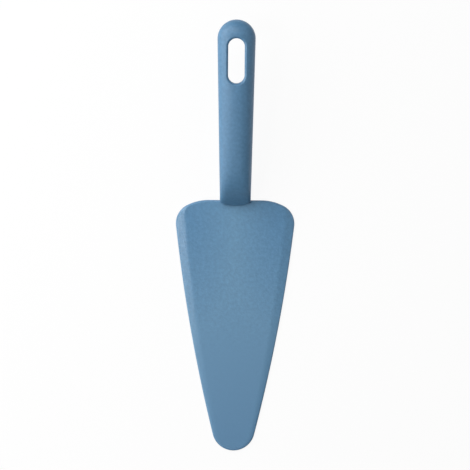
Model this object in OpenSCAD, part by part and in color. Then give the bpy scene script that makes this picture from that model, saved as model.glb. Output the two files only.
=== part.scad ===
// Cake server: a flat wedge blade with a cranked handle of two shells.
// The blade lies flat on z = 0 with its tip towards -Y, and the handle climbs towards +Y.

/* [Blade outline] */
// Length of the blade, from its straight rear edge to its tip
blade_len = 151; // [130:1:170]
// Greatest width of the blade, just in front of its rear edge
blade_w = 71.5; // [64:0.5:80]
// Radius of the rounded tip
tip_r = 12.85; // [10:0.05:15]
// Radius of the rear corners
corner_r = 12.2; // [9:0.1:15]
// Radius of the gently bowed long sides
side_r = 960; // [700:10:2000]
// Width of the straight rear edge that the handle sits on
seat_w = 31.6; // [28:0.2:38]
// Radius of the shoulders between the straight rear edge and the corners
shoulder_r = 29; // [24:1:60]

/* [Blade thickness] */
// Thickness of the blade at its rear edge
blade_t = 2.3; // [2:0.1:3.4]
// Thickness of the blade at its tip
tip_t = 1.5; // [1.3:0.1:2]
// Thickness of the outer edge
edge_t = 1.2; // [0.8:0.1:1.2]
// Width of the side bevel at the rear corners
bevel_w = 5.2; // [3:0.1:6]
// Width of the side bevel beside the tip
tip_bevel_w = 2.4; // [1.5:0.1:4]
// Width of the narrow bevel along the rear edge and round the tip
rim_w = 0.9; // [0.5:0.1:1.4]
// Roundness of the bevel, where 0 is a plain chamfer
bevel_round = 0.1; // [0:0.05:0.8]
// Corner radius of the flat top face
flat_corner_r = 5; // [3:0.1:8]
// Radius of the bowed sides of the flat top face
flat_side_r = 1200; // [900:50:4000]

/* [Handle] */
// Length of the handle behind the rear edge of the blade
handle_len = 106.5; // [95:0.5:120]
// Reach of the rounded nose over the blade
nose_reach = 3.4; // [2:0.1:5]
// Width of the handle at the rear edge of the blade
neck_w = 18.55; // [16:0.05:22]
// Width of the handle at its round end
end_w = 22.65; // [20:0.05:28]
// Height of the crown above the seam of the two shells
crown_h = 7; // [6:0.1:9]
// Depth of the underside below the seam
belly_h = 4.5; // [4:0.1:6]
// Height that the neck climbs before the grip levels out
neck_rise = 9; // [6:0.1:10]
// Length over which the climb of the neck dies away
neck_run = 7; // [6.5:0.1:12]
// Angle at which the grip leaves the neck
grip_angle = 17; // [12:0.5:22]
// Distance behind the blade at which the bowed grip comes level
grip_bow = 125; // [120:1:200]
// Squareness of the section at the nose
nose_square = 4; // [3:0.1:5]
// Squareness of the section along the grip, where 2 is an ellipse
grip_square = 2.2; // [2:0.1:3]
// Distance over which the squareness of the nose dies away
square_ease = 9; // [6:0.5:20]
// Squareness of the nose seen from above
nose_plan = 2.4; // [2:0.1:4]
// Distance over which the height of the neck grows into that of the grip
grip_ease = 20; // [15:1:30]
// Height of the underside above the table at the rear edge of the blade
foot_gap = 0.3; // [0.2:0.1:1]

/* [Hanging slot] */
// Width of the hanging slot
slot_w = 9.8; // [7:0.1:11]
// Length of the hanging slot
slot_len = 27; // [20:0.1:32]
// Distance from the end of the handle to the slot
slot_end = 10.8; // [9:0.1:14]
// Solid plastic left between the slot and the hollow grip
slot_frame = 3; // [2:0.1:5]

/* [Shells and tang] */
// Wall of the hollow handle shells
wall = 2; // [1.6:0.1:2.3]
// Length of the sloped walls at the two ends of the hollow
hollow_ramp = 0.6; // [0.4:0.1:1]
// Gap left at the seams between the pieces
seam_gap = 0.1; // [0.05:0.05:0.2]
// Length of the solid neck that the blade shows under the handle
neck_len = 12; // [10:0.5:14]
// Depth that the neck and the tang are sunk into the plastic that carries them
root_depth = 1; // [0.6:0.1:1.4]
// Width of the tang
tang_w = 8.6; // [7.5:0.1:10]
// Thickness of the tang
tang_t = 2; // [1.6:0.1:2.4]
// Distance from the rear edge of the blade to the front of the tang
tang_start = 5.5; // [5:0.1:6]
// Distance from the end of the tang to the end of the hollow
tang_end_gap = 3; // [1:0.1:6]
// Diameter of the posts that pass through the tang
post_d = 4; // [3:0.1:4.5]
// Diameter of the shoulders and sockets at the two ends of the posts
boss_d = 8; // [7:0.1:9]
// Clearance round the posts, under the tang and over it
post_gap = 0.15; // [0.1:0.05:0.2]
// Plastic left over each socket
socket_roof = 1.4; // [1.2:0.1:2]
// Distance from the rear edge of the blade to the first post
post_first = 22; // [20:0.5:26]
// Distance from the second post to the end of the hollow
post_end_gap = 14; // [10:0.1:18]

/* [Hidden] */
plastic = "#5a8cb4";
$fn = 48;

// The origin is under the middle of the blade
rear_y = blade_len / 2;
tip_y = -blade_len / 2;

// Steps along each kind of curve
arc_steps = 8;
side_steps = 16;
bevel_steps = 3;
section_steps = 24;
nose_steps = 8;
neck_steps = 8;
grip_steps = 18;
loop_steps = 7;
cap_steps = 9;

// Heights that the handle grows from: the nose comes down to its seat at the end of its reach
upper = 1;
lower = -1;
seat_z = blade_t + seam_gap;
grip_slope = tan(grip_angle);
nose_growth = exp(nose_reach / grip_ease);
nose_h = (crown_h * (nose_growth - 1) - climb(-nose_reach)) / nose_growth;

// Places along the handle, measured back from the rear edge of the blade
end_r = end_w / 2;
cap_s = handle_len - end_r;
slot_far_s = handle_len - slot_end - slot_w / 2;
slot_near_s = handle_len - slot_end - slot_len + slot_w / 2;
slot_mid_s = (slot_near_s + slot_far_s) / 2;
hollow_end_s = slot_near_s - slot_w / 2 - slot_frame;
upper_hollow_s = tang_start - wall;
lower_hollow_s = neck_len + wall;
shell_front_s = neck_len + seam_gap;
root_s = -nose_reach / 2;
post_places = [post_first, hollow_end_s - post_end_gap];

// Stations at which the sections of the handle are drawn
nose_list = [for (i = [1:nose_steps]) -nose_reach * pow(cos(90 * i / nose_steps), 2 / nose_plan)];
neck_list = spread(0, neck_len, neck_steps);
tail_list = concat(
    [lower_hollow_s, lower_hollow_s + hollow_ramp],
    spread(lower_hollow_s + hollow_ramp, hollow_end_s - hollow_ramp, grip_steps),
    [hollow_end_s],
    spread(hollow_end_s, cap_s, loop_steps),
    [for (i = [1:cap_steps - 1]) cap_s + end_r * sin(90 * i / cap_steps)]
);
tang_list = [
    for (s = concat(neck_list, tail_list))
        if (s > tang_start && s < hollow_end_s - tang_end_gap) s
];

// Values from one number to another, without the first
function spread(from, to, steps) = [for (i = [1:steps]) from + (to - from) * i / steps];

// Points of an arc about a centre, without the first
function arc(centre, r, from, to, steps) = [for (a = spread(from, to, steps)) centre + r * [cos(a), sin(a)]];

function heading(v) = atan2(v.y, v.x);
function limit(v) = max(0, min(1, v));
function mix(a, b, share) = a + (b - a) * share;
function reverse(list) = [for (i = [len(list) - 1:-1:0]) list[i]];

// Rounds a cosine or sine into the matching term of a superellipse
function squared(v, square) = sign(v) * pow(abs(v), 2 / square);

// Centre of the large arc that the circles at a and b both touch from inside, on their right
function side_centre(a, ra, b, rb, r) =
    let (
        gap = norm(b - a),
        dir = (b - a) / gap,
        along = ((r - ra) ^ 2 - (r - rb) ^ 2 + gap ^ 2) / (2 * gap)
    )
    a + along * dir + sqrt((r - ra) ^ 2 - along ^ 2) * [-dir.y, dir.x];

// Wedge outline of tangent arcs: tip, long side, corner and shoulder, and the same mirrored
function wedge(half_w, tip, r_tip, r_side, r_corner, r_shoulder) =
    let (
        tip_centre = [0, tip + r_tip],
        shoulder = [seat_w / 2, rear_y - shoulder_r],
        corner_x = half_w - r_corner,
        corner_drop = sqrt((r_shoulder - r_corner) ^ 2 - (corner_x - shoulder.x) ^ 2),
        corner = [corner_x, shoulder.y + corner_drop],
        side = side_centre(tip_centre, r_tip, corner, r_corner, r_side),
        low = heading(tip_centre - side),
        high = heading(corner - side),
        turn = heading(corner - shoulder),
        right = concat(
            arc(tip_centre, r_tip, -90, low, arc_steps),
            arc(side, r_side, low, high, side_steps),
            arc(corner, r_corner, high, turn, arc_steps),
            arc(shoulder, r_shoulder, turn, 90, arc_steps)
        )
    )
    concat([[0, tip]], right, [for (p = reverse(right)) [-p.x, p.y]]);

outline = wedge(blade_w / 2, tip_y, tip_r, side_r, corner_r, shoulder_r);
flat = wedge(blade_w / 2 - bevel_w, tip_y + rim_w, tip_r - tip_bevel_w, flat_side_r, flat_corner_r,
             shoulder_r - rim_w);

// Height of the flat top face, which slopes down to the tip
function flat_z(y) = mix(tip_t, blade_t, (y - tip_y) / blade_len);

// Rings of the blade, from the underside up the edge and over the convex bevel
function edge_ring(z) = [for (p = outline) [p.x, p.y, z]];
function bevel_ring(share) = [
    for (i = [0:len(outline) - 1])
        let (
            p = mix(outline[i], flat[i], share),
            rise = share * (1 + bevel_round * (1 - share))
        )
        [p.x, p.y, mix(edge_t, flat_z(p.y), rise)]
];

// Climb of the seam behind the blade: a steep neck that dies away into the bowed grip
function climb(s) = neck_rise * (1 - exp(-s / neck_run)) + grip_slope * s * (1 - s / (2 * grip_bow));
function slope(s) = neck_rise / neck_run * exp(-s / neck_run) + grip_slope * (1 - s / grip_bow);
function seam_z(s) = seat_z + climb(max(s, 0));

// Crown and underside of the handle on its centre line
function top_z(s) = seat_z + climb(s) + mix(crown_h, nose_h, exp(-s / grip_ease));
function belly(s) = mix(belly_h, seat_z - foot_gap, exp(-s / grip_ease));
function wall_z(s) = wall * sqrt(1 + slope(s) ^ 2);

// The handle closes as a half ellipsoid at its end, and as a squarish curve at its nose
function cap(s) = sqrt(max(0, 1 - (max(0, s - cap_s) / end_r) ^ 2));
function nose(s) = pow(1 - pow(max(0, -s) / nose_reach, nose_plan), 1 / nose_plan);
function half_w(s) = mix(neck_w / 2, end_r, limit(s / cap_s)) * cap(s) * nose(s);
function square_at(s) = mix(grip_square, nose_square, exp(-max(0, s) / square_ease));
function height(s, side) = side == upper ? (top_z(s) - seam_z(s)) * cap(s) : belly(s) * cap(s);
function rim_z(s, side) = side == upper ? seam_z(s) : seam_z(s) - seam_gap;

// Share of the full hollow at a station, ramped up behind its start and down before its end
function hollow(s, from) = limit((s - from) / hollow_ramp) * limit((hollow_end_s - s) / hollow_ramp);

// Half section of the handle at a station: out along its skin and back along its hollow
function half_ring(s, side, hollow_share, sink = 0) =
    let (
        w = half_w(s),
        h = height(s, side) - sink,
        base = rim_z(s, side) + side * sink,
        inner_w = max(w - wall, w / 2),
        inner_h = hollow_share * (h - wall_z(s)),
        turns = [for (i = [0:section_steps]) 180 * i / section_steps],
        q = square_at(s)
    )
    concat(
        [for (a = reverse(turns)) [side * w * squared(cos(a), q), rear_y + s,
                                   base + side * h * squared(sin(a), q)]],
        [for (a = turns) [side * inner_w * squared(cos(a), q), rear_y + s,
                          base + side * inner_h * squared(sin(a), q)]]
    );

// Middle of a solid half section, where its end face is closed
function middle(s, side, sink = 0) =
    [0, rear_y + s, rim_z(s, side) + side * (height(s, side) + sink) / 2];

// Underside and thickness of the tang, which follows the seam
function tang_z(s) = seam_z(s) + post_gap;
function tang_h(s) = tang_t * sqrt(1 + slope(s) ^ 2);

// Closed solid through a list of rings, with a point that closes each end
module loft(rings, start, finish) {
    count = len(rings[0]);
    last = len(rings) * count + 1;
    points = concat([start], [for (ring = rings) each ring], [finish]);
    function at(ring, i) = 1 + ring * count + i % count;
    faces = concat(
        [for (i = [0:count - 1]) [0, at(0, i), at(0, i + 1)]],
        [for (r = [0:len(rings) - 2], i = [0:count - 1]) [at(r, i), at(r + 1, i), at(r + 1, i + 1)]],
        [for (r = [0:len(rings) - 2], i = [0:count - 1]) [at(r, i), at(r + 1, i + 1), at(r, i + 1)]],
        [for (i = [0:count - 1]) [at(len(rings) - 1, i), last, at(len(rings) - 1, i + 1)]]
    );
    polyhedron(points, faces);
}

// Hollow half of the handle through the stations of a list, closed in front by a point
module shell(stations, side, hollow_from, front) {
    rings = [for (s = stations) half_ring(s, side, hollow(s, hollow_from))];
    loft(rings, front, [0, rear_y + handle_len, rim_z(handle_len, side)]);
}

// Upright round column at a station of the handle
module column(s, d, low, high)
    translate([0, rear_y + s, low])
        cylinder(d = d, h = high - low);

// Round boss at a station, with both ends parallel to the grip
module boss(s, low, high) {
    tilt = atan(slope(s));
    reach = boss_d + high - low;
    intersection() {
        column(s, boss_d, low - boss_d, high + boss_d);
        translate([0, rear_y + s, low])
            rotate([tilt, 0, 0])
                translate([-reach, -reach, 0])
                    cube([2 * reach, 2 * reach, (high - low) * cos(tilt)]);
    }
}

// Round-ended opening through the end of the handle, square to the grip
module slot_cut() {
    run = slot_len - slot_w;
    depth = 2 * (crown_h + belly_h);
    translate([0, rear_y + slot_mid_s, seam_z(slot_mid_s)])
        rotate([atan(slope(slot_mid_s)), 0, 0]) {
            for (y = [-run / 2, run / 2])
                translate([0, y, 0])
                    cylinder(d = slot_w, h = depth, center = true);
            cube([slot_w, run, depth], center = true);
        }
}

// Flat wedge with a narrow edge and convex bevels
module wedge_blade() {
    rings = concat([edge_ring(0), edge_ring(edge_t)],
                   [for (share = spread(0, 1, bevel_steps)) bevel_ring(share)]);
    loft(rings, [0, 0, 0], [0, 0, flat_z(0)]);
}

// Solid neck that climbs from the rear edge of the blade and shows under the handle
module neck() {
    rings = concat([half_ring(root_s, lower, 0, root_depth), half_ring(0, lower, 0)],
                   [for (s = neck_list) half_ring(s, lower, 0)]);
    loft(rings, middle(root_s, lower, root_depth), middle(neck_len, lower));
}

// Flat bar inside the handle, with its front sunk into the neck
module tang() {
    over = [for (s = tang_list) [rear_y + s, tang_z(s) + tang_h(s)]];
    under = [for (s = tang_list) [rear_y + s, s < neck_len ? seam_z(s) - root_depth : tang_z(s)]];
    rotate([90, 0, 90])
        linear_extrude(tang_w, center = true)
            polygon(concat(over, reverse(under)));
}

module blade()
    color(plastic)
        difference() {
            union() {
                wedge_blade();
                neck();
                tang();
            }
            for (s = post_places)
                column(s, post_d + 2 * post_gap, 0, top_z(s));
        }

module handle_upper_shell()
    color(plastic)
        difference() {
            union() {
                shell(concat(nose_list, neck_list, tail_list), upper, upper_hollow_s,
                      [0, rear_y - nose_reach, seat_z]);
                for (s = post_places)
                    boss(s, tang_z(s) + tang_h(s) + post_gap, top_z(s) - wall / 2);
            }
            for (s = post_places)
                column(s, post_d + 2 * post_gap, 0, top_z(s) - socket_roof);
            slot_cut();
        }

module handle_lower_shell()
    color(plastic)
        difference() {
            union() {
                shell(concat([shell_front_s], tail_list), lower, lower_hollow_s,
                      middle(shell_front_s, lower));
                for (s = post_places) {
                    boss(s, rim_z(s, lower) - belly(s) + wall / 2, tang_z(s) - post_gap);
                    column(s, post_d, rim_z(s, lower) - belly(s) + wall, top_z(s) - socket_roof - post_gap);
                }
            }
            slot_cut();
        }

blade();
handle_upper_shell();
handle_lower_shell();
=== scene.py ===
import math
from typing import NamedTuple

import bmesh
import bpy
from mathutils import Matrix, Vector

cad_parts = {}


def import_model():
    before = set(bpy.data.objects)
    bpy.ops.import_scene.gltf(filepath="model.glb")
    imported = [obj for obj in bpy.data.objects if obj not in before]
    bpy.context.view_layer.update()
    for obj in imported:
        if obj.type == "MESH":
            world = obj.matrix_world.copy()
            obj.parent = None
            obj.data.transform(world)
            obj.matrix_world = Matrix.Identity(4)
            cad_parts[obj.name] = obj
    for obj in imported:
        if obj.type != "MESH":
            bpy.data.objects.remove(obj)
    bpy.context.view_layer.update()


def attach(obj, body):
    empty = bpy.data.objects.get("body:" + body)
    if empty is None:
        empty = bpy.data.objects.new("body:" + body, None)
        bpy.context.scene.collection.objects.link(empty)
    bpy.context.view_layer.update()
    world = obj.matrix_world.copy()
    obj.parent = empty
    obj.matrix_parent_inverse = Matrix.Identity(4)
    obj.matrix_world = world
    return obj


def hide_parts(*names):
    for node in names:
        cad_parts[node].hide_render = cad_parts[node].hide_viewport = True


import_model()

MM = 0.001

# The two halves of the handle, as the sign of their height from the seam
UPPER = 1
LOWER = -1

# Blade outline
BLADE_LEN = 151 * MM
BLADE_W = 71.5 * MM
TIP_R = 12.85 * MM
CORNER_R = 12.2 * MM
SIDE_R = 960 * MM
SEAT_W = 31.6 * MM
SHOULDER_R = 29 * MM
REAR_Y = BLADE_LEN / 2
TIP_Y = -BLADE_LEN / 2

# Blade thickness and bevel; each SHARE is the most of the bevel's width that a rounding takes
BLADE_T = 2.3 * MM
TIP_T = 1.5 * MM
EDGE_T = 1.2 * MM
BEVEL_W = 5.2 * MM
TIP_BEVEL_W = 2.4 * MM
RIM_W = 0.9 * MM
BEVEL_ROUND = 0.1
FLAT_CORNER_R = 5 * MM
FLAT_SIDE_R = 1200 * MM
EDGE_ROUND = 0.25 * MM
BROW_ROUND = 0.9 * MM
BROW_SHARE = 0.4
CREASE_REACH = 1.4 * MM
CREASE_SHARE = 0.5
FLAT_MARGIN = 0.3 * MM

# Handle; a SQUARE or PLAN is the power of a superellipse: 2 for an ellipse, more for a squarer form.
# LIP_SHARE is the most of a section's width or height that the lip of the seam takes
HANDLE_LEN = 106.5 * MM
NOSE_REACH = 3.4 * MM
NECK_W = 18.55 * MM
END_W = 22.65 * MM
END_R = END_W / 2
CROWN_H = 7 * MM
BELLY_H = 4.5 * MM
NECK_RISE = 9 * MM
NECK_RUN = 7 * MM
GRIP_ANGLE = math.radians(17)
GRIP_SLOPE = math.tan(GRIP_ANGLE)
GRIP_BOW = 125 * MM
NOSE_SQUARE = 4
GRIP_SQUARE = 2.2
SQUARE_EASE = 9 * MM
NOSE_PLAN = 2.4
GRIP_EASE = 20 * MM
FOOT_GAP = 0.3 * MM
SEAM_GAP = 0.1 * MM
SEAM_ROUND = 0.15 * MM
LIP_SHARE = 0.25
CAP_S = HANDLE_LEN - END_R
SEAT_Z = BLADE_T + SEAM_GAP

# Hanging slot
SLOT_W = 9.8 * MM
SLOT_R = SLOT_W / 2
SLOT_LEN = 27 * MM
SLOT_END = 10.8 * MM
SLOT_FRAME = 3 * MM
SLOT_FAR_S = HANDLE_LEN - SLOT_END - SLOT_R
SLOT_NEAR_S = SLOT_FAR_S - SLOT_LEN + 2 * SLOT_R
RIM_ROUND = {UPPER: 1.2 * MM, LOWER: 1.0 * MM}
RIM_SQUARE = 1.3

# Shells, neck and tang; HOLLOW_SHARE is the least of a section's width that is hollow
WALL = 2 * MM
HOLLOW_SHARE = 0.5
HOLLOW_RAMP = 0.6 * MM
NECK_LEN = 12 * MM
ROOT_DEPTH = 1 * MM
ROOT_S = -NOSE_REACH / 2
TANG_W = 8.6 * MM
TANG_T = 2 * MM
TANG_START = 5.5 * MM
TANG_END_GAP = 3 * MM
TANG_LIFT = 0.15 * MM
HOLLOW_END_S = SLOT_NEAR_S - SLOT_R - SLOT_FRAME
UPPER_HOLLOW_S = TANG_START - WALL
LOWER_HOLLOW_S = NECK_LEN + WALL
SHELL_FRONT_S = NECK_LEN + SEAM_GAP
LOOP_S = HOLLOW_END_S

# Steps along each kind of curve
ARC_STEPS = 24
SIDE_STEPS = 72
EDGE_STEPS = 4
BROW_STEPS = 6
BEVEL_STEPS = 10
CREASE_STEPS = 5
SECTION_STEPS = 64
NOSE_STEPS = 28
NECK_STEPS = 30
GRIP_STEPS = 56
LOOP_SIDE_STEPS = 36
CAP_STEPS = 32
RIM_STEPS = 8
LOOP_RINGS = 20
TANG_STEPS = 24

# Points over the skin of a half section, with a lip and a foot at each end
SKIN_POINTS = SECTION_STEPS + 3

# Powers for the rings round the slot: how strongly they crowd towards the outline, and how soon that
# fades towards the middle of the grip
RING_CROWD = 2
CROWD_FADE = 4

# Edges sharper than this stay crisp in the smooth shading
SHARP_ANGLE = math.radians(40)


# Plain arithmetic
def mix(a, b, share):
    """Value a share of the way from a to b."""
    return a + (b - a) * share


def limit(value):
    """Value held between 0 and 1."""
    return max(0.0, min(1.0, value))


def spread(first, last, steps):
    """Values from first to last, without the first."""
    return [mix(first, last, i / steps) for i in range(1, steps + 1)]


def full_spread(first, last, steps):
    """Values from first to last."""
    return [first, *spread(first, last, steps)]


def squared(value, square):
    """Rounds a cosine or sine into the matching term of a superellipse."""
    return math.copysign(abs(value) ** (2 / square), value)


# Meshes
class Shape:
    """Points and faces of a mesh, collected ring by ring."""

    def __init__(self):
        self.points = []
        self.faces = []

    def add(self, points):
        """Adds points and returns their numbers."""
        first = len(self.points)
        self.points.extend(points)
        return list(range(first, len(self.points)))

    def bridge(self, a, b, closed=True):
        """Joins two rows of points with four-sided faces."""
        count = len(a) if closed else len(a) - 1
        for i in range(count):
            j = (i + 1) % len(a)
            self.faces.append((a[i], b[i], b[j], a[j]))

    def loft(self, rings):
        """Joins each ring to the next."""
        for a, b in zip(rings, rings[1:]):
            self.bridge(a, b)

    def fan(self, ring, point):
        """Closes a ring with a point."""
        tip = self.add([point])[0]
        for i, a in enumerate(ring):
            self.faces.append((a, ring[(i + 1) % len(ring)], tip))

    def ladder(self, ring):
        """Closes a mirrored ring that starts at its tip with rungs from side to side."""
        count = len(ring)
        self.faces.append((ring[0], ring[1], ring[-1]))
        for i in range(1, count // 2):
            self.faces.append((ring[i], ring[i + 1], ring[count - i - 1], ring[count - i]))


def mesh_object(name, shape):
    """Object with a closed mesh whose faces all look outward."""
    mesh = bpy.data.meshes.new(name)
    mesh.from_pydata(shape.points, [], shape.faces)
    work = bmesh.new()
    work.from_mesh(mesh)
    bmesh.ops.recalc_face_normals(work, faces=work.faces)
    work.to_mesh(mesh)
    work.free()
    obj = bpy.data.objects.new(name, mesh)
    bpy.context.scene.collection.objects.link(obj)
    return obj


def join_solids(obj, others):
    """Makes one solid of an object and others that overlap it."""
    for other in others:
        join = obj.modifiers.new("join", "BOOLEAN")
        join.operation = "UNION"
        join.solver = "EXACT"
        join.object = other
    drawn = obj.evaluated_get(bpy.context.evaluated_depsgraph_get())
    joined = bpy.data.meshes.new_from_object(drawn)
    obj.modifiers.clear()
    obj.data = joined
    for other in others:
        bpy.data.objects.remove(other)


def dress(obj, material, node):
    """Gives a piece its finish and its place on the frame."""
    obj.data.shade_smooth()
    obj.data.set_sharp_from_angle(angle=SHARP_ANGLE)
    obj.data.materials.clear()
    obj.data.materials.append(material)
    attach(obj, "root")
    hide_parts(node)


# Blade
def arc(centre, r, start, end, steps):
    """Points of an arc about a centre, without the first."""
    return [centre + r * Vector((math.cos(a), math.sin(a))) for a in spread(start, end, steps)]


def heading(v):
    """Angle of a direction from +X."""
    return math.atan2(v.y, v.x)


def side_centre(a, ra, b, rb, r):
    """Centre of the large arc that the circles at a and b both touch from inside, on their right."""
    gap = (b - a).length
    along_dir = (b - a) / gap
    along = ((r - ra) ** 2 - (r - rb) ** 2 + gap ** 2) / (2 * gap)
    away = math.sqrt((r - ra) ** 2 - along ** 2)
    return a + along * along_dir + away * Vector((-along_dir.y, along_dir.x))


def wedge(half_width, tip, r_tip, r_side, r_corner, r_shoulder):
    """Right half of a wedge outline in tangent arcs: tip, long side, corner and shoulder."""
    tip_centre = Vector((0, tip + r_tip))
    shoulder = Vector((SEAT_W / 2, REAR_Y - SHOULDER_R))
    corner_x = half_width - r_corner
    corner_drop = math.sqrt((r_shoulder - r_corner) ** 2 - (corner_x - shoulder.x) ** 2)
    corner = Vector((corner_x, shoulder.y + corner_drop))
    side = side_centre(tip_centre, r_tip, corner, r_corner, r_side)
    low = heading(tip_centre - side)
    high = heading(corner - side)
    turn = heading(corner - shoulder)
    return [
        Vector((0, tip)),
        *arc(tip_centre, r_tip, -math.pi / 2, low, ARC_STEPS),
        *arc(side, r_side, low, high, SIDE_STEPS),
        *arc(corner, r_corner, high, turn, ARC_STEPS),
        *arc(shoulder, r_shoulder, turn, math.pi / 2, ARC_STEPS),
    ]


def flat_z(y):
    """Height of the flat top face, which slopes down to the tip."""
    return mix(TIP_T, BLADE_T, (y - TIP_Y) / BLADE_LEN)


def bevel_point(edge, flat, share):
    """Point a share of the way up the slightly rounded bevel."""
    p = mix(edge, flat, share)
    rise = share * (1 + BEVEL_ROUND * (1 - share))
    return Vector((p.x, p.y, mix(EDGE_T, flat_z(p.y), rise)))


def soften(start, corner, end, steps):
    """Points of a curve that rounds off a corner, without the first."""
    shares = spread(0, 1, steps)
    return [mix(mix(start, corner, share), mix(corner, end, share), share) for share in shares]


def edge_profile(edge, flat):
    """Points from the underside up round the edge, over the bevel and onto the flat face."""
    width = (flat - edge).length
    inward = (flat - edge) / width
    points = []
    for turn in full_spread(0, math.pi / 2, EDGE_STEPS):
        p = edge + EDGE_ROUND * (1 - math.sin(turn)) * inward
        points.append(Vector((p.x, p.y, EDGE_ROUND * (1 - math.cos(turn)))))
    first = min(BROW_ROUND / width, BROW_SHARE)
    wall_top = Vector((edge.x, edge.y, EDGE_T - BROW_ROUND))
    bevel_start = bevel_point(edge, flat, first)
    points.append(wall_top)
    points.extend(soften(wall_top, bevel_point(edge, flat, 0), bevel_start, BROW_STEPS))
    reach = min(CREASE_REACH / width, CREASE_SHARE)
    points.extend(bevel_point(edge, flat, share) for share in spread(first, 1 - reach, BEVEL_STEPS))
    landing = flat + reach * width * inward
    end = Vector((landing.x, landing.y, flat_z(landing.y)))
    points.extend(soften(points[-1], bevel_point(edge, flat, 1), end, CREASE_STEPS))
    margin = landing + FLAT_MARGIN * inward
    points.append(Vector((margin.x, margin.y, flat_z(margin.y))))
    return points


def wedge_blade():
    """Blade, lofted from its underside round the edge to the flat top face."""
    outline = wedge(BLADE_W / 2, TIP_Y, TIP_R, SIDE_R, CORNER_R, SHOULDER_R)
    flat = wedge(
        BLADE_W / 2 - BEVEL_W,
        TIP_Y + RIM_W,
        TIP_R - TIP_BEVEL_W,
        FLAT_SIDE_R,
        FLAT_CORNER_R,
        SHOULDER_R - RIM_W,
    )
    right = [edge_profile(edge, inner) for edge, inner in zip(outline, flat)]
    shape = Shape()
    rings = []
    for level in zip(*right):
        left = [Vector((-p.x, p.y, p.z)) for p in reversed(level[1:])]
        rings.append(shape.add([*level, *left]))
    shape.loft(rings)
    shape.ladder(rings[0])
    shape.ladder(rings[-1])
    return mesh_object("wedge_blade", shape)


# Handle, whose stations are measured back from the rear edge of the blade
def climb(s):
    """Climb of the seam: a steep neck that dies away into the bowed grip."""
    neck = NECK_RISE * (1 - math.exp(-s / NECK_RUN))
    return neck + GRIP_SLOPE * s * (1 - s / (2 * GRIP_BOW))


def slope(s):
    """Slope of the seam."""
    neck = NECK_RISE / NECK_RUN * math.exp(-s / NECK_RUN)
    return neck + GRIP_SLOPE * (1 - s / GRIP_BOW)


# The slot stands square to the seam at its middle, and the crown comes down to the blade at the nose
SLOT_MID_S = (SLOT_NEAR_S + SLOT_FAR_S) / 2
SLOT_LEAN = slope(SLOT_MID_S)
SLOT_Z = SEAT_Z + climb(SLOT_MID_S)
NOSE_GROWTH = math.exp(NOSE_REACH / GRIP_EASE)
NOSE_H = (CROWN_H * (NOSE_GROWTH - 1) - climb(-NOSE_REACH)) / NOSE_GROWTH


def seam_z(s):
    """Height of the seam, which lies level under the nose."""
    return SEAT_Z + climb(max(s, 0))


def top_z(s):
    """Height of the crown of the handle."""
    return SEAT_Z + climb(s) + mix(CROWN_H, NOSE_H, math.exp(-s / GRIP_EASE))


def belly(s):
    """Depth of the handle under the seam."""
    return mix(BELLY_H, SEAT_Z - FOOT_GAP, math.exp(-s / GRIP_EASE))


def cap(s):
    """Share of the full section left at the round end of the handle."""
    return math.sqrt(max(0, 1 - (max(0, s - CAP_S) / END_R) ** 2))


def half_w(s):
    """Half the width of the handle, which widens to its round end."""
    nose = (1 - (max(0, -s) / NOSE_REACH) ** NOSE_PLAN) ** (1 / NOSE_PLAN)
    return mix(NECK_W / 2, END_R, limit(s / CAP_S)) * cap(s) * nose


def square_at(s):
    """Power of the section, from the squarer nose to the rounder grip."""
    return mix(GRIP_SQUARE, NOSE_SQUARE, math.exp(-max(0, s) / SQUARE_EASE))


def height(s, side):
    """Rise of a half's skin from its rim."""
    full = top_z(s) - seam_z(s) if side == UPPER else belly(s)
    return full * cap(s)


def rim_z(s, side):
    """Height of a half's flat rim along the seam."""
    return seam_z(s) if side == UPPER else seam_z(s) - SEAM_GAP


def hollow(s, start):
    """Share of the full hollow at a station."""
    return limit((s - start) / HOLLOW_RAMP) * limit((HOLLOW_END_S - s) / HOLLOW_RAMP)


def skin_z(x, s, side):
    """Height of the outer skin over a place."""
    square = square_at(s)
    bulge = max(0, 1 - (abs(x) / half_w(s)) ** square) ** (1 / square)
    return rim_z(s, side) + side * height(s, side) * bulge


def half_ring(s, side, hollow_share, sink=0):
    """Half section at a station: over the skin from left to right, and back along the hollow."""
    w = half_w(s)
    h = height(s, side) - sink
    base = rim_z(s, side) + side * sink
    y = REAR_Y + s
    square = square_at(s)
    lip = min(SEAM_ROUND, LIP_SHARE * w, LIP_SHARE * h)
    turns = [math.pi * i / SECTION_STEPS for i in range(SECTION_STEPS + 1)]

    def oval(reach, rise, a):
        """Point of a squared half oval."""
        up = side * rise * squared(math.sin(a), square)
        return Vector((reach * squared(math.cos(a), square), y, base + up))

    inner_w = max(w - WALL, HOLLOW_SHARE * w)
    inner_h = hollow_share * (h - WALL * math.sqrt(1 + slope(s) ** 2))
    return [
        Vector((lip - w, y, base)),
        Vector((-w, y, base + side * lip)),
        *(oval(-w, h, a) for a in turns[1:-1]),
        Vector((w, y, base + side * lip)),
        Vector((w - lip, y, base)),
        *(oval(inner_w, inner_h, a) for a in turns),
    ]


def middle(s, side, sink=0):
    """Middle of a solid half section, where its end face is closed."""
    return Vector((0, REAR_Y + s, rim_z(s, side) + side * (height(s, side) + sink) / 2))


def loop_path():
    """Places round the handle's end, from its right side to its left, without the first and last."""
    sides = [(half_w(s), s) for s in spread(LOOP_S, CAP_S, LOOP_SIDE_STEPS)]
    turns = spread(0, math.pi / 2, CAP_STEPS)
    quarter = [(END_R * math.cos(a), CAP_S + END_R * math.sin(a)) for a in turns[:-1]]
    right = [*sides, *quarter]
    return [*right, (0, HANDLE_LEN), *((-x, s) for x, s in reversed(right))]


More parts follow.
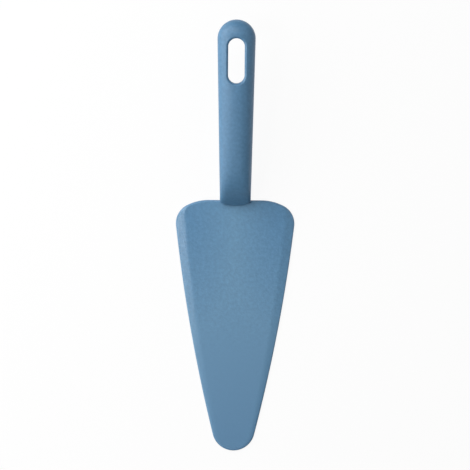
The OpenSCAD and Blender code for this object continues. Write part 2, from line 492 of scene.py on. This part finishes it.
def loop_inset(x, s):
    """Place moved in from the outline of the loop by the width of the seam's rounded lip."""
    if s <= CAP_S:
        return x - math.copysign(SEAM_ROUND, x), s
    share = 1 - SEAM_ROUND / END_R
    return x * share, mix(CAP_S, s, share)


class Ray(NamedTuple):
    """Line from the axis of the slot out to the edge of the loop, and how far its rings crowd there."""

    axis: Vector
    away: Vector
    reach: float
    crowd: float


def slot_ray(p, on_seam):
    """Ray from the nearest place on the axis of the slot."""
    s = p.y - REAR_Y
    axis = Vector((0, max(SLOT_NEAR_S, min(SLOT_FAR_S, s))))
    away = Vector((p.x, s)) - axis
    crowd = 1 if on_seam else (abs(p.x) / half_w(LOOP_S)) ** CROWD_FADE
    return Ray(axis, away.normalized(), away.length - SLOT_R, crowd)


def slot_lean(s, z):
    """Station of a slot place at a height, as the slot stands square to the grip."""
    return s - SLOT_LEAN * (z - SLOT_Z)


def loop_end(shape, side, ring):
    """Closes a handle half behind a ring with the loop round the hanging slot."""

    def point(x, s, z):
        return Vector((x, REAR_Y + s, z))

    skin, inside = ring[:SKIN_POINTS], ring[SKIN_POINTS:]
    path = loop_path()
    lips = shape.add([point(x, s, rim_z(s, side) + side * SEAM_ROUND) for x, s in path])
    feet = shape.add([point(*loop_inset(x, s), rim_z(s, side)) for x, s in path])
    lips = [skin[-2], *lips, skin[1]]
    feet = [skin[-1], *feet, skin[0]]
    shape.bridge(lips, feet, closed=False)
    outer = [*lips, *skin[2:-2]]
    on_seam = len(lips)
    rays = [slot_ray(shape.points[p], i < on_seam) for i, p in enumerate(outer)]

    def slot_ring(distance, z_at):
        """Ring at a distance from the wall of the slot, at the height that a function gives."""
        points = []
        for ray in rays:
            x, s = ray.axis + (SLOT_R + distance) * ray.away
            s = slot_lean(s, z_at(x, s))
            points.append(point(x, s, z_at(x, s)))
        return shape.add(points)

    # Up the wall of the slot, over its rounded rim and out over the skin
    rings = [
        slot_ring(SEAM_ROUND, lambda x, s: rim_z(s, side)),
        slot_ring(0, lambda x, s: rim_z(s, side) + side * SEAM_ROUND),
    ]
    round_r = RIM_ROUND[side]
    for turn in full_spread(0, math.pi / 2, RIM_STEPS):
        inset = round_r * (1 - squared(math.cos(turn), RIM_SQUARE))
        drop = round_r * (1 - squared(math.sin(turn), RIM_SQUARE))
        rings.append(slot_ring(inset, lambda x, s: skin_z(x, s, side) - side * drop))
    for share in spread(0, 1, LOOP_RINGS)[:-1]:
        points = []
        for ray in rays:
            part = mix(share, 1 - (1 - share) ** RING_CROWD, ray.crowd)
            x, s = ray.axis + (SLOT_R + mix(round_r, ray.reach, part)) * ray.away
            s = mix(slot_lean(s, skin_z(x, s, side)), s, part)
            points.append(point(x, s, skin_z(x, s, side)))
        rings.append(shape.add(points))
    rings.append(outer)
    shape.loft(rings)

    # Seam face between the slot and the outline
    slot = rings[0]
    shape.bridge(slot[:on_seam], feet, closed=False)
    front = [*slot[on_seam - 1:], slot[0]]
    inside = inside[::-1]
    shape.bridge(front, inside, closed=False)
    shape.faces.append((front[0], feet[-1], inside[0]))
    shape.faces.append((front[-1], inside[-1], feet[0]))


def grip_stations():
    """Stations from the full hollow of the lower shell to the loop."""
    start = LOWER_HOLLOW_S + HOLLOW_RAMP
    end = HOLLOW_END_S - HOLLOW_RAMP
    return [LOWER_HOLLOW_S, *full_spread(start, end, GRIP_STEPS), LOOP_S]


def handle_upper_shell():
    """Upper half, from its nose on the blade to the loop."""
    turns = spread(0, math.pi / 2, NOSE_STEPS)
    nose = [-NOSE_REACH * math.cos(a) ** (2 / NOSE_PLAN) for a in turns[:-1]]
    stations = [*nose, *full_spread(0, NECK_LEN, NECK_STEPS), *grip_stations()]
    shape = Shape()
    rings = [shape.add(half_ring(s, UPPER, hollow(s, UPPER_HOLLOW_S))) for s in stations]
    shape.loft(rings)
    shape.fan(rings[0], Vector((0, REAR_Y - NOSE_REACH, SEAT_Z)))
    loop_end(shape, UPPER, rings[-1])
    return mesh_object("upper_shell", shape)


def handle_lower_shell():
    """Lower half, from the neck of the blade to the loop."""
    stations = [SHELL_FRONT_S, *grip_stations()]
    shape = Shape()
    rings = [shape.add(half_ring(s, LOWER, hollow(s, LOWER_HOLLOW_S))) for s in stations]
    shape.loft(rings)
    shape.fan(rings[0], middle(SHELL_FRONT_S, LOWER))
    loop_end(shape, LOWER, rings[-1])
    return mesh_object("lower_shell", shape)


def neck():
    """Solid neck that climbs from the rear edge of the blade and shows under the handle."""
    shape = Shape()
    rings = [shape.add(half_ring(ROOT_S, LOWER, 0, ROOT_DEPTH))]
    rings += [shape.add(half_ring(s, LOWER, 0)) for s in full_spread(0, NECK_LEN, NECK_STEPS)]
    shape.loft(rings)
    shape.fan(rings[0], middle(ROOT_S, LOWER, ROOT_DEPTH))
    shape.fan(rings[-1], middle(NECK_LEN, LOWER))
    return mesh_object("neck", shape)


def tang():
    """Flat bar inside the handle, with its front sunk into the neck."""
    shape = Shape()
    rings = []
    for s in full_spread(TANG_START, HOLLOW_END_S - TANG_END_GAP, TANG_STEPS):
        bottom = seam_z(s) - ROOT_DEPTH if s < NECK_LEN else seam_z(s) + TANG_LIFT
        top = seam_z(s) + TANG_LIFT + TANG_T * math.sqrt(1 + slope(s) ** 2)
        corners = [(-1, bottom), (1, bottom), (1, top), (-1, top)]
        rings.append(shape.add([Vector((x * TANG_W / 2, REAR_Y + s, z)) for x, z in corners]))
    shape.loft(rings)
    shape.faces.append(rings[0])
    shape.faces.append(rings[-1])
    return mesh_object("tang", shape)


# Plastics: colour, depth of the grain, roughness and strength of the shine
# The blade's colour holds a painted sheen: it is the paler colour of the middle of the blade
BLADE_SHEEN_COLOUR = (0.1438, 0.2962, 0.4555)
BLADE_GRAIN = 0.1 * MM
BLADE_ROUGH = 0.31
BLADE_SHINE = 0.52
HANDLE_COLOUR = (0.0934, 0.2211, 0.3705)
HANDLE_GRAIN = 0.05 * MM
HANDLE_ROUGH = 0.42
HANDLE_SHINE = 0.50
MOTTLE = 0.2
MOTTLE_SIZE = 1.8 * MM
GLOSS_SIZE = 3 * MM
GLOSS_SPAN = (0.3, 0.7)
ROUGH_PLAY = 0.02
GRAIN_SIZE = 1.1 * MM
NOISE_MIDDLE = 0.5

# Painted sheen: the middle of the blade is coloured paler, as if a sheen of light lay on it there, and
# it turns to a darker, deeper colour at the rear corners and the tip, where that painted sheen fades
BLADE_UNSHEENED_COLOUR = (0.1046, 0.2456, 0.4130)
UNSHEENED_CORNER = (26 * MM, 66 * MM, 0)
UNSHEENED_REACH = (26 * MM, 90 * MM, 1)
UNSHEENED_TIP = (20 * MM, -75 * MM)

# The grain is rubbed down from the middle of the blade to its tip
GRAIN_WORN = (-20 * MM, 10 * MM)
WORN_SHARE = 0.15


class Finish:
    """Material and the means to lay out its nodes."""

    def __init__(self, name):
        self.mat = bpy.data.materials.new(name)
        self.mat.use_nodes = True
        self.nodes = self.mat.node_tree.nodes

    def link(self, value, socket):
        self.mat.node_tree.links.new(value, socket)

    def ramp(self, value, span, levels):
        """Value that runs between two levels over a span of another value."""
        node = self.nodes.new("ShaderNodeMapRange")
        for name, number in zip(("From Min", "From Max", "To Min", "To Max"), (*span, *levels)):
            node.inputs[name].default_value = number
        self.link(value, node.inputs["Value"])
        return node.outputs["Result"]

    def math(self, operation, *values):
        node = self.nodes.new("ShaderNodeMath")
        node.operation = operation
        for value, socket in zip(values, node.inputs):
            self.link(value, socket)
        return node.outputs["Value"]


class Plastic(Finish):
    """Moulded plastic with an uneven gloss, and the nodes to colour and grain it."""

    def __init__(self, name, rough, shine):
        super().__init__(name)
        self.shader = self.nodes["Principled BSDF"]
        self.shader.inputs["Specular IOR Level"].default_value = shine
        self.place = self.nodes.new("ShaderNodeTexCoord").outputs["Object"]
        levels = (rough - ROUGH_PLAY, rough + ROUGH_PLAY)
        gloss = self.ramp(self.noise(GLOSS_SIZE), GLOSS_SPAN, levels)
        self.link(gloss, self.shader.inputs["Roughness"])

    def noise(self, size):
        node = self.nodes.new("ShaderNodeTexNoise")
        node.inputs["Scale"].default_value = 1 / size
        self.link(self.place, node.inputs["Vector"])
        return node.outputs["Fac"]

    def fade(self, share, value):
        """Noise drawn in towards its middle where the share is small."""
        node = self.nodes.new("ShaderNodeMix")
        node.inputs["A"].default_value = NOISE_MIDDLE
        self.link(share, node.inputs["Factor"])
        self.link(value, node.inputs["B"])
        return node.outputs["Result"]

    def blend(self, share, *colours):
        """Mix of two colours, each a list of numbers or another node's colour."""
        node = self.nodes.new("ShaderNodeMix")
        node.data_type = "RGBA"
        self.link(share, node.inputs["Factor"])
        for colour, socket in zip(colours, [c for c in node.inputs if c.type == "RGBA"]):
            if isinstance(colour, bpy.types.NodeSocket):
                self.link(colour, socket)
            else:
                socket.default_value = (*colour, 1)
        return next(c for c in node.outputs if c.type == "RGBA")

    def mottled(self, speck, colour):
        """Colour that turns a little darker and lighter with a noise."""
        dark = [c * (1 - MOTTLE) for c in colour]
        light = [c * (1 + MOTTLE) for c in colour]
        return self.blend(speck, dark, light)

    def finish(self, colour, grain, depth):
        """Puts a colour and a grain of a given depth on the surface."""
        bump = self.nodes.new("ShaderNodeBump")
        bump.inputs["Distance"].default_value = depth
        self.link(grain, bump.inputs["Height"])
        self.link(bump.outputs["Normal"], self.shader.inputs["Normal"])
        self.link(colour, self.shader.inputs["Base Color"])
        return self.mat


def blade_plastic():
    plastic = Plastic("blade_plastic", BLADE_ROUGH, BLADE_SHINE)
    split = plastic.nodes.new("ShaderNodeSeparateXYZ")
    plastic.link(plastic.place, split.inputs["Vector"])
    along = split.outputs["Y"]

    # Oval spots of the darker colour without the painted sheen, one on each side
    both_sides = plastic.nodes.new("ShaderNodeCombineXYZ")
    plastic.link(plastic.math("ABSOLUTE", split.outputs["X"]), both_sides.inputs["X"])
    plastic.link(along, both_sides.inputs["Y"])
    corner = plastic.nodes.new("ShaderNodeMapping")
    corner.vector_type = "TEXTURE"
    corner.inputs["Location"].default_value = UNSHEENED_CORNER
    corner.inputs["Scale"].default_value = UNSHEENED_REACH
    plastic.link(both_sides.outputs["Vector"], corner.inputs["Vector"])
    unsheened_spot = plastic.nodes.new("ShaderNodeTexGradient")
    unsheened_spot.gradient_type = "SPHERICAL"
    plastic.link(corner.outputs["Vector"], unsheened_spot.inputs["Vector"])
    # Where the painted sheen gives way to the darker colour: the two spots and the tip
    unsheened = plastic.math("MAXIMUM", unsheened_spot.outputs["Fac"], plastic.ramp(along, UNSHEENED_TIP, (0, 1)))

    worn = plastic.ramp(along, GRAIN_WORN, (WORN_SHARE, 1))
    speck = plastic.fade(worn, plastic.noise(MOTTLE_SIZE))
    # Painted sheen: the paler colour in the middle, blended to the darker colour at the corners and the
    # tip
    sheened_colour = plastic.mottled(speck, BLADE_SHEEN_COLOUR)
    colour = plastic.blend(unsheened, sheened_colour, plastic.mottled(speck, BLADE_UNSHEENED_COLOUR))
    return plastic.finish(colour, plastic.fade(worn, plastic.noise(GRAIN_SIZE)), BLADE_GRAIN)


def handle_plastic():
    plastic = Plastic("handle_plastic", HANDLE_ROUGH, HANDLE_SHINE)
    colour = plastic.mottled(plastic.noise(MOTTLE_SIZE), HANDLE_COLOUR)
    return plastic.finish(colour, plastic.noise(GRAIN_SIZE), HANDLE_GRAIN)


# Floor
FLOOR_PAINT = 0.9
FLOOR_GLOW = 0.92
FLOOR_HALF = 4.0
FLOOR_DROP = 0.1 * MM


def floor_material():
    """Pale floor that shows white, and takes a light shadow."""
    finish = Finish("floor_white")
    finish.nodes.clear()
    out = finish.nodes.new("ShaderNodeOutputMaterial")
    paint = finish.nodes.new("ShaderNodeBsdfDiffuse")
    paint.inputs["Color"].default_value = (FLOOR_PAINT, FLOOR_PAINT, FLOOR_PAINT, 1)
    white = finish.nodes.new("ShaderNodeEmission")
    path = finish.nodes.new("ShaderNodeLightPath").outputs
    mirrored = finish.math("MAXIMUM", path["Is Glossy Ray"], path["Is Transmission Ray"])
    seen = finish.math("MAXIMUM", path["Is Camera Ray"], mirrored)
    blend = finish.nodes.new("ShaderNodeMixShader")
    finish.link(finish.ramp(seen, (0, 1), (0, FLOOR_GLOW)), blend.inputs["Fac"])
    finish.link(paint.outputs["BSDF"], blend.inputs[1])
    finish.link(white.outputs["Emission"], blend.inputs[2])
    finish.link(blend.outputs["Shader"], out.inputs["Surface"])
    return finish.mat


def floor():
    signs = [(-1, -1), (1, -1), (1, 1), (-1, 1)]
    corners = [(FLOOR_HALF * x, FLOOR_HALF * y, -FLOOR_DROP) for x, y in signs]
    mesh = bpy.data.meshes.new("floor")
    mesh.from_pydata(corners, [], [range(len(corners))])
    mesh.materials.append(floor_material())
    obj = bpy.data.objects.new("floor", mesh)
    bpy.context.scene.collection.objects.link(obj)


# Camera: straight above, as far off as a small studio allows
FIELD = 283.5 * MM
CAMERA_HEIGHT = 1.6
CAMERA_X = -0.02 * MM
CAMERA_Y = 54.44 * MM
CAMERA_ROLL = math.radians(0.46)


def camera():
    data = bpy.data.cameras.new("camera")
    data.lens = data.sensor_width * CAMERA_HEIGHT / FIELD
    obj = bpy.data.objects.new("camera", data)
    obj.location = (CAMERA_X, CAMERA_Y, CAMERA_HEIGHT)
    obj.rotation_euler = (0, 0, CAMERA_ROLL)
    bpy.context.scene.collection.objects.link(obj)
    bpy.context.scene.camera = obj


# Soft studio light: round lamps about the handle, each with its compass angle from +X, height angle,
# width and power
LAMPS = {
    "left_top": (180, 62, 0.2, 1.08),
    "left": (180, 40, 0.5, 0.80),
    "left_low": (195, 18, 0.5, 1.27),
    "front_left": (225, 40, 0.5, 0.80),
    "front_top": (270, 68, 0.5, 0.55),
    "rear_left": (130, 35, 0.6, 2.16),
    "rear_left_low": (150, 25, 0.6, 1.30),
    "left_rear": (160, 25, 0.5, 1.04),
    "rear_top": (100, 55, 0.2, 0.76),
    "rear_right": (45, 40, 0.5, 0.47),
    "right_top": (0, 50, 0.5, 0.28),
    "right_low": (0, 12, 0.5, 0.49),
}
LAMP_DISTANCE = 0.8
AIM = Vector((0, 60 * MM, 10 * MM))


def lamp(name, azimuth, elevation, width, power):
    data = bpy.data.lights.new(name, "AREA")
    data.shape = "DISK"
    data.size = width
    data.energy = power
    a, e = math.radians(azimuth), math.radians(elevation)
    away = Vector((math.cos(a) * math.cos(e), math.sin(a) * math.cos(e), math.sin(e)))
    obj = bpy.data.objects.new(name, data)
    obj.location = AIM + LAMP_DISTANCE * away
    obj.rotation_euler = away.to_track_quat("Z", "Y").to_euler()
    obj.visible_camera = False
    bpy.context.scene.collection.objects.link(obj)


def world():
    """Dark room beyond the lamps and the floor."""
    sky = bpy.data.worlds.new("studio")
    sky.use_nodes = True
    sky.node_tree.nodes["Background"].inputs["Strength"].default_value = 0
    bpy.context.scene.world = sky


camera()
floor()
world()
for lamp_name, setting in LAMPS.items():
    lamp(lamp_name, *setting)

blade = wedge_blade()
join_solids(blade, [neck(), tang()])
dress(blade, blade_plastic(), "blade")
shell_plastic = handle_plastic()
dress(handle_upper_shell(), shell_plastic, "handle_upper_shell")
dress(handle_lower_shell(), shell_plastic, "handle_lower_shell")

bpy.context.scene.view_settings.view_transform = "Standard"
